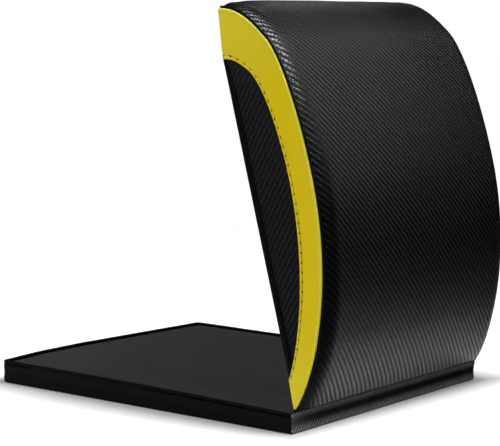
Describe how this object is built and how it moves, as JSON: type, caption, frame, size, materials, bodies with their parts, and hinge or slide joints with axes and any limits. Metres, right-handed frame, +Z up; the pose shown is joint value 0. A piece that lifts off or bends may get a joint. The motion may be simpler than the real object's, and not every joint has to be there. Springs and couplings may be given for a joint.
{
  "type": "ab mat",
  "caption": "Folding abdominal exercise mat: a crowned foam arch joined by a sewn fold to a flat padded base.",
  "frame": {"origin": "centre of the pad's underside, where it rests on the floor", "axes": "+Z up; +Y along the pad from the fold at its -Y end to its free end; the arch stands over the fold with its crowned face towards -Y; X across"},
  "size_m": [0.305, 0.3987, 0.3786],
  "materials": {
    "foam": "open foam",
    "smooth_cloth": "dark grey smooth cloth",
    "woven_look_vinyl": "black embossed twill vinyl",
    "smooth_vinyl": "black smooth vinyl",
    "yellow_vinyl": "satin yellow vinyl",
    "yellow_thread": "sewing thread"
  },
  "bodies": {
    "pad": {"pad_foam": "foam", "pad_top_cover": "smooth_cloth", "pad_underside_cover": "woven_look_vinyl", "pad_side_wall": "smooth_vinyl", "pad_hinge_wall": "woven_look_vinyl", "pad_top_piping": "smooth_vinyl", "fold_cord": "smooth_vinyl"},
    "arch": {"arch_foam": "foam", "arch_face_cover": "woven_look_vinyl", "arch_base_cover": "smooth_cloth", "arch_side_panel_left": "woven_look_vinyl", "arch_side_panel_right": "woven_look_vinyl", "side_band_left": "yellow_vinyl", "side_band_right": "yellow_vinyl", "face_piping_left": "smooth_vinyl", "face_piping_right": "smooth_vinyl", "hem_strip_left": "smooth_cloth", "hem_strip_right": "smooth_cloth", "band_stitching_left": "yellow_thread", "band_stitching_right": "yellow_thread"}
  },
  "joints": [
    {"name": "fold_hinge", "type": "hinge", "parent": "pad", "child": "arch", "pos_m": [0, -0.1815, 0.0193], "axis": [1, 0, 0], "range_deg": [-75.1, 104.9]}
  ]
}
